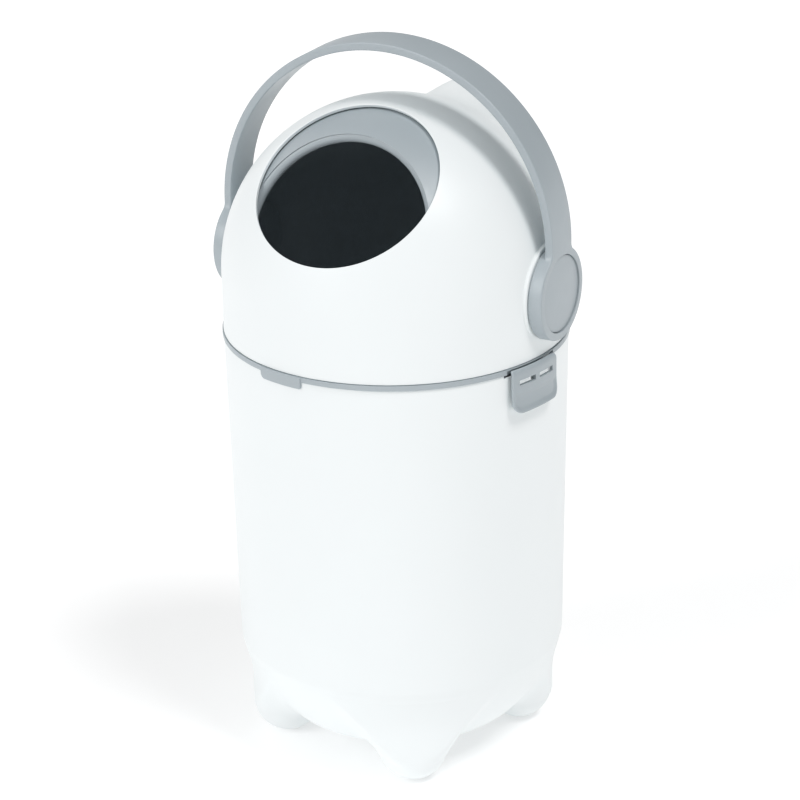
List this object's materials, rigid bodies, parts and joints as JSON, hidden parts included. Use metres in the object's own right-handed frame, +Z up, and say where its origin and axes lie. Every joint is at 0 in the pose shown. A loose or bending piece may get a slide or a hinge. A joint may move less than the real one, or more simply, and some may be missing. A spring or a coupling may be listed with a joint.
{
  "type": "nappy bin",
  "caption": "Tall round nappy bin with a domed head, a drum turned by a hoop handle that carries a nappy from the mouth down into the tub, side clasps and feet.",
  "frame": {"origin": "centre of the circle of feet, on the floor that the bin stands on", "axes": "+Z up along the tub; -Y is the side of the lifting tab; the clasps are on +X and -X; the head stands turned 11.7 degrees about +Z, from -Y towards +X"},
  "size_m": [0.2964, 0.2831, 0.5795],
  "materials": {
    "tub": "satin moulded plastic, white",
    "collar": "satin moulded plastic, blue-grey",
    "collar_gasket": "soft rubber, dark grey",
    "dome": "satin moulded plastic, white",
    "mouth_seal": "soft rubber, dark grey",
    "head_floor": "satin moulded plastic, white",
    "floor_seal": "soft rubber, dark grey",
    "floor_screws": "plain steel",
    "bush_right": "natural bearing plastic",
    "bush_left": "natural bearing plastic",
    "drum_front": "satin moulded plastic, blue-grey",
    "drum_rear": "satin moulded plastic, blue-grey",
    "drum_end_right": "satin moulded plastic, blue-grey",
    "drum_end_left": "satin moulded plastic, blue-grey",
    "handle": "satin moulded plastic, blue-grey",
    "hub_cap_right": "satin moulded plastic, blue-grey",
    "hub_cap_left": "satin moulded plastic, blue-grey",
    "hub_screws": "plain steel",
    "clasp_right": "satin moulded plastic, blue-grey",
    "clasp_left": "satin moulded plastic, blue-grey",
    "clasp_pin_right": "plain steel",
    "clasp_pin_left": "plain steel"
  },
  "bodies": {
    "base": {"tub": "tub"},
    "head": {"collar": "collar", "collar_gasket": "collar_gasket", "dome": "dome", "mouth_seal": "mouth_seal", "head_floor": "head_floor", "floor_seal": "floor_seal", "floor_screws": "floor_screws", "bush_right": "bush_right", "bush_left": "bush_left", "clasp_pin_right": "clasp_pin_right", "clasp_pin_left": "clasp_pin_left"},
    "turner": {"drum_front": "drum_front", "drum_rear": "drum_rear", "drum_end_right": "drum_end_right", "drum_end_left": "drum_end_left", "handle": "handle", "hub_cap_right": "hub_cap_right", "hub_cap_left": "hub_cap_left", "hub_screws": "hub_screws"},
    "flap_right": {"clasp_right": "clasp_right"},
    "flap_left": {"clasp_left": "clasp_left"}
  },
  "joints": [
    {"name": "head_lift", "type": "slide", "parent": "base", "child": "head", "axis": [0, 0, 1], "range_m": [0, 0.16]},
    {"name": "handle_turn", "type": "hinge", "parent": "head", "child": "turner", "pos_m": [0, 0, 0.397], "axis": [0.9792, 0.2028, 0], "range_deg": [-42, 113]},
    {"name": "clasp_right_swing", "type": "hinge", "parent": "head", "child": "flap_right", "pos_m": [0.1362, 0, 0.3467], "axis": [0, -1, 0], "range_deg": [0, 25]},
    {"name": "clasp_left_swing", "type": "hinge", "parent": "head", "child": "flap_left", "pos_m": [-0.1362, 0, 0.3467], "axis": [0, 1, 0], "range_deg": [0, 25]}
  ]
}
